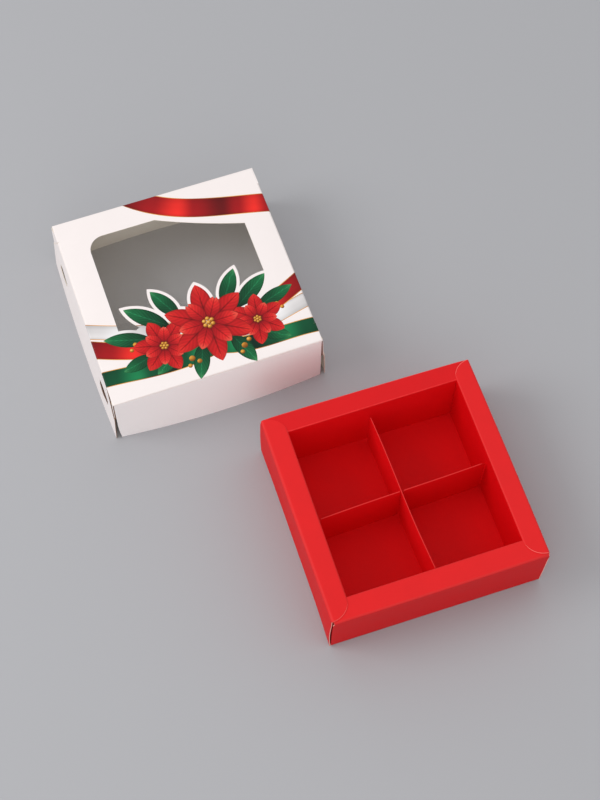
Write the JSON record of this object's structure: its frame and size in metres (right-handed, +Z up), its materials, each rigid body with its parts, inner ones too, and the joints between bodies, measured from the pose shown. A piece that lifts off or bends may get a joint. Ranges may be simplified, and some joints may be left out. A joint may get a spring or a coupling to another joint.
{
  "type": "folding carton sweet box",
  "caption": "Square folding card sweet box: frame tray with a cross divider of slotted strips, and a printed lid with a film window lying beside it.",
  "frame": {"origin": "centre of the tray's underside, on the surface that the tray and the lid rest on", "axes": "+Z up, +X to the tray's right and +Y to its back, where the lid lies"},
  "size_m": [0.1726, 0.2421, 0.0355],
  "materials": {
    "tray_red_card": "satin coated red",
    "tray_inside_card": "satin coated red",
    "divider_card": "satin coated red",
    "lid_printed_card": "white coated, printed in red, green and gold",
    "lid_inside_card": "uncoated white",
    "window_film": "clear film"
  },
  "bodies": {
    "tray": {"tray_floor": "tray_inside_card", "tray_left_wall": "tray_red_card", "tray_right_wall": "tray_red_card", "tray_front_wall": "tray_red_card", "tray_back_wall": "tray_red_card", "tray_left_rim": "tray_red_card", "tray_right_rim": "tray_red_card", "tray_front_rim": "tray_red_card", "tray_back_rim": "tray_red_card", "tray_left_inner_wall": "tray_inside_card", "tray_right_inner_wall": "tray_inside_card", "tray_front_inner_wall": "tray_inside_card", "tray_back_inner_wall": "tray_inside_card", "tray_front_left_flap": "tray_inside_card", "tray_front_right_flap": "tray_inside_card", "tray_back_left_flap": "tray_inside_card", "tray_back_right_flap": "tray_inside_card"},
    "divider_left_right": {"divider_left_right": "divider_card"},
    "divider_front_back": {"divider_front_back": "divider_card"},
    "lid": {"lid_top": "lid_printed_card", "lid_window_film": "window_film", "lid_left_wall": "lid_printed_card", "lid_right_wall": "lid_printed_card", "lid_front_wall": "lid_printed_card", "lid_back_wall": "lid_printed_card", "lid_front_left_lock_flap": "lid_inside_card", "lid_front_right_lock_flap": "lid_inside_card", "lid_back_left_lock_flap": "lid_inside_card", "lid_back_right_lock_flap": "lid_inside_card"}
  },
  "joints": [
    {"name": "lid_lift", "type": "slide", "parent": "tray", "child": "lid", "axis": [0, 0, 1], "range_m": [0, 0.06]},
    {"name": "left_right_strip_lift", "type": "slide", "parent": "tray", "child": "divider_left_right", "axis": [0, 0, 1], "range_m": [0, 0.04]},
    {"name": "front_back_strip_lift", "type": "slide", "parent": "divider_left_right", "child": "divider_front_back", "axis": [0, 0, 1], "range_m": [0, 0.04]}
  ]
}
